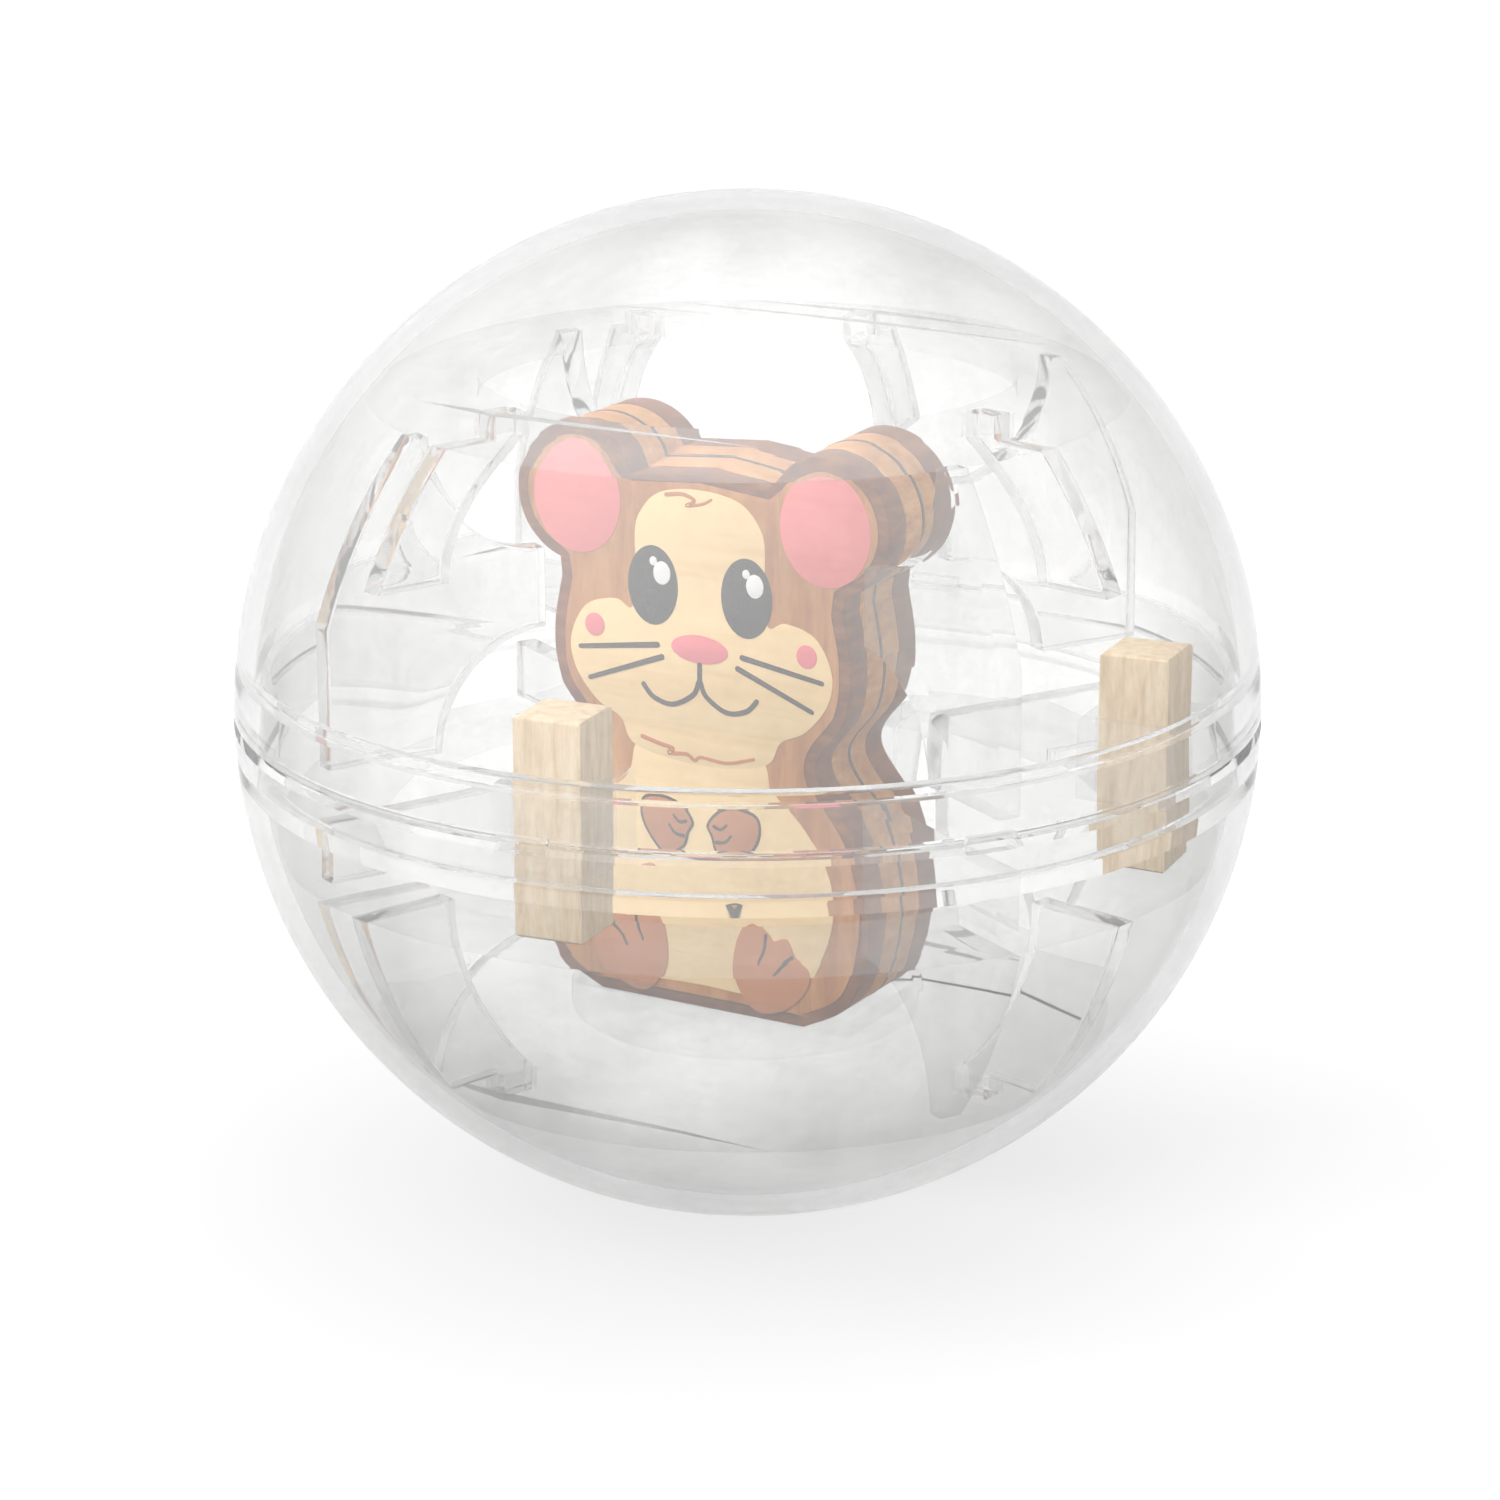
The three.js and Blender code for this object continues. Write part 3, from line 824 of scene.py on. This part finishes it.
for side, x in (("left", -5.0), ("right", 7.4)):
    art(f"glint {side}", arc(x, 52.5, 1.15, 0, 2 * math.pi, 24, 1.4)[1:], WHITE, 4.4)
    art(f"small glint {side}", arc(x - 1.15, 53.8, 0.5, 0, 2 * math.pi, 16, 0.55)[1:], WHITE, 4.4)
art("nose", arc(0, 44, 3.8, 0, 2 * math.pi, 40, 1.7)[1:], ROSE, 3.4)
art("cheek", arc(14.2, 45.1, 1.35, 0, 2 * math.pi, 24, 1.4)[1:], ROSE, 3.2, True)
mouth = spline_through([(0.15, 40.0), (0.9, 38.4), (3.6, 36.9), (6.2, 37.4), (7.6, 38.8)], 8)
art("mouth", stroke(mouth, 0.62), LINE, 3.3, True)
art("lip", stroke([(0, 42.2), (0, 39.7)], 0.62), LINE, 3.4)
for name, points in (("upper", [(5.7, 43.8), (16.2, 42.2)]), ("lower", [(5.1, 42.4), (14.9, 38.6)])):
    art(f"{name} whisker", stroke(points, 0.7, 0.2), LINE, 3.6, True)

BROW = [(-4.4, 61.9), (-2.2, 62.2), (-0.6, 61.6), (-1.8, 60.9), (0.3, 61.3), (1.6, 62.0)]
art("brow fur", stroke(spline_through(BROW, 5), 0.5, 0.4), FUR, 3.3)
THROAT = [
    (-7.8, 32.4), (-5.6, 31.9), (-3.6, 31.5), (-4.3, 30.9), (-1.8, 31.1),
    (-0.7, 30.5), (0.2, 31.0), (3.6, 30.8), (7.2, 31.8),
]
art("throat fur", stroke(spline_through(THROAT, 4), 0.55, 0.3), FUR, 3.3)


def limb(name, outline, toes):
    """A paw or foot: a dark edge, a brown pad and two lines between the toes."""
    shape = spline_through(outline, 10, True)
    art(f"{name} edge", shape, LINE, 3.3, True)
    art(f"{name} pad", moved_in(shape, 0.32), PAW, 3.9, True)
    for i, line in enumerate(toes):
        art(f"{name} toe {i + 1}", stroke(spline_through(line, 6), 0.42, 0.35), LINE, 4.6, True)


PAW_OUTLINE = [
    (0.9, 22.6), (1.5, 21.2), (2.1, 19.6), (3.9, 18.5), (5.5, 18.7),
    (7.9, 21.6), (7.9, 24.3), (5.4, 25.0), (2.6, 24.4),
]
PAW_TOES = [[(1.9, 22.5), (2.8, 22.3), (3.6, 22.9)], [(2.2, 20.8), (3.4, 21.0), (4.2, 21.8)]]
FOOT_OUTLINE = [
    (4.9, 5.0), (5.2, 8.8), (6.9, 11.3), (8.9, 10.4), (9.9, 9.5), (11.6, 10.0),
    (12.6, 8.4), (14.4, 7.2), (13.9, 4.6), (11.0, 1.9), (7.4, 1.4),
]
FOOT_TOES = [[(8.9, 10.3), (8.6, 8.6), (7.9, 7.2)], [(12.4, 8.5), (11.2, 7.6), (10.0, 6.4)]]
limb("paw", PAW_OUTLINE, PAW_TOES)
limb("foot", FOOT_OUTLINE, FOOT_TOES)


def stand_mesh():
    """A round base with the hamster's recess cut out of its top."""
    bottom = STAND_BOTTOM + STAND_LIFT
    profile = [
        (0, bottom),
        (STAND_R - 0.3, bottom),
        (STAND_R, STAND_BOTTOM + 0.3),
        (STAND_R, STAND_TOP - 0.6),
        (STAND_R - 0.2, STAND_TOP - 0.2),
        (STAND_R - 0.6, STAND_TOP),
        (0, STAND_TOP),
    ]
    base = bpy.data.objects.new("base", lathe([(a, profile) for a in even_azimuths(160)]))
    lip = STAND_TOP - HAMSTER_BASE
    widest = max(x for x, y in hamster_outline() if y < 2 * lip) + FIT
    deep = 2 * PLY + FIT
    corners = [(HAMSTER_X + x, y) for x, y in block(0, widest, deep, 0)]
    place = lying(HAMSTER_BASE + lip - RECESS_DROP)
    cutter = bpy.data.objects.new("cutter", plate(corners, [], 2 * lip, 0.1, place))
    for o in (base, cutter):
        bpy.context.scene.collection.objects.link(o)
    cut = base.modifiers.new("recess", "BOOLEAN")
    cut.object = cutter
    cut.solver = "EXACT"
    dg = bpy.context.evaluated_depsgraph_get()
    mesh = bpy.data.meshes.new_from_object(base.evaluated_get(dg))
    bpy.data.objects.remove(base)
    bpy.data.objects.remove(cutter)
    return mesh


add_piece("hamster stand", stand_mesh(), STAND, "lower_half", ["hamster_stand"])


# ---- Stage, light and camera ----

def area_light(name, place, aim, size, power):
    """A soft lamp that is seen neither directly, nor in reflections, nor through the clear plastics."""
    data = bpy.data.lights.new(name, "AREA")
    data.shape = "RECTANGLE"
    data.size, data.size_y = size
    data.energy = power
    lamp = bpy.data.objects.new(name, data)
    bpy.context.scene.collection.objects.link(lamp)
    lamp.location = place
    lamp.rotation_mode = "QUATERNION"
    lamp.rotation_quaternion = (Vector(aim) - Vector(place)).to_track_quat("-Z", "Y")
    lamp.visible_camera = False
    lamp.visible_glossy = False
    lamp.visible_transmission = False


floor_mesh = bpy.data.meshes.new("floor")
FLOOR_HALF = 6
FLOOR_DROP = 0.2 * MM
floor_corners = [(x, y, 0) for x, y in block(0, FLOOR_HALF, FLOOR_HALF, 0)]
floor_mesh.from_pydata(floor_corners, [], [(0, 1, 2, 3)])
floor = bpy.data.objects.new("floor", floor_mesh)
bpy.context.scene.collection.objects.link(floor)
floor.location.z = -FLOOR_DROP
floor_material, floor_tree = new_material("pale floor")
floor_place = node(floor_tree, "ShaderNodeTexCoord").outputs["Object"]
floor_length = node(floor_tree, "ShaderNodeVectorMath", {0: floor_place}, operation="LENGTH")
# Painted shadow: the floor's glow darkens towards the ball, because its clear plastics cast almost no shadow.
floor_glow_with_painted_shadow = mapped(floor_tree, floor_length.outputs["Value"], 0.72, 0.93, 0.02, 0.16)
floor_shader = node(
    floor_tree,
    "ShaderNodeBsdfPrincipled",
    {
        "Base Color": (0.09, 0.09, 0.09, 1),
        "Roughness": 0.9,
        "Specular IOR Level": 0.0,
        "Emission Color": (1, 1, 1, 1),
        "Emission Strength": floor_glow_with_painted_shadow,
    },
)
finish_material(floor_tree, floor_shader.outputs[0])
floor_mesh.materials.append(floor_material)

middle = Vector((0, 0, CENTRE * MM))
area_light("key", (-0.55, -0.55, 0.75), middle, (0.5, 0.5), 16.0)
area_light("fill", (0.75, -0.5, 0.35), middle, (0.4, 0.6), 5.0)
area_light("top", (0.1, 0.25, 0.9), middle, (0.7, 0.7), 7.0)

scene = bpy.context.scene
world = bpy.data.worlds.new("studio")
world.use_nodes = True
scene.world = world
world_tree = world.node_tree
world_tree.nodes.clear()
world_place = node(world_tree, "ShaderNodeTexCoord")
world_split = node(world_tree, "ShaderNodeSeparateXYZ", {0: world_place.outputs["Generated"]})
world_colour = ramp(
    world_tree,
    mapped(world_tree, world_split.outputs["Z"], 0.0, 1.0, -0.2, 1.0),
    [(0.0, (0.9, 0.9, 0.9)), (0.12, (1, 1, 1))],
)
background = node(world_tree, "ShaderNodeBackground", {"Color": world_colour, "Strength": 1.0})
node(world_tree, "ShaderNodeOutputWorld", {"Surface": background.outputs[0]})

AZIMUTH = math.radians(30)
ELEVATION = math.radians(16.3)
DISTANCE = 9.8 * BALL_R * MM
SENSOR = 36
# The ball's radius and its centre's offsets, as shares of the frame's width.
BALL_SHARE = 0.34273
RAISED_SHARE = 0.03167
LEFT_SHARE = 0.00153
focal_share = BALL_SHARE / math.tan(math.asin(BALL_R * MM / DISTANCE))
camera_data = bpy.data.cameras.new("camera")
camera_data.sensor_width = SENSOR
camera_data.lens = focal_share * SENSOR
camera_data.clip_start = 0.01
camera = bpy.data.objects.new("camera", camera_data)
scene.collection.objects.link(camera)
back = Vector(
    (
        math.sin(AZIMUTH) * math.cos(ELEVATION),
        -math.cos(AZIMUTH) * math.cos(ELEVATION),
        math.sin(ELEVATION),
    )
)
camera.location = middle + back * DISTANCE
aim_down = RAISED_SHARE / focal_share * DISTANCE
aim_side = LEFT_SHARE / focal_share * DISTANCE
side_way = Vector((math.cos(AZIMUTH), math.sin(AZIMUTH), 0))
up_way = back.cross(side_way)
target = middle - up_way * aim_down + side_way * aim_side
camera.rotation_mode = "QUATERNION"
camera.rotation_quaternion = (target - camera.location).to_track_quat("-Z", "Y")
scene.camera = camera

scene.view_settings.view_transform = "Standard"
scene.view_settings.look = "None"
scene.cycles.max_bounces = 24
scene.cycles.transmission_bounces = 20
scene.cycles.transparent_max_bounces = 32
scene.cycles.diffuse_bounces = 3
scene.cycles.glossy_bounces = 6
scene.cycles.caustics_reflective = False
scene.cycles.caustics_refractive = False
scene.cycles.use_denoising = True
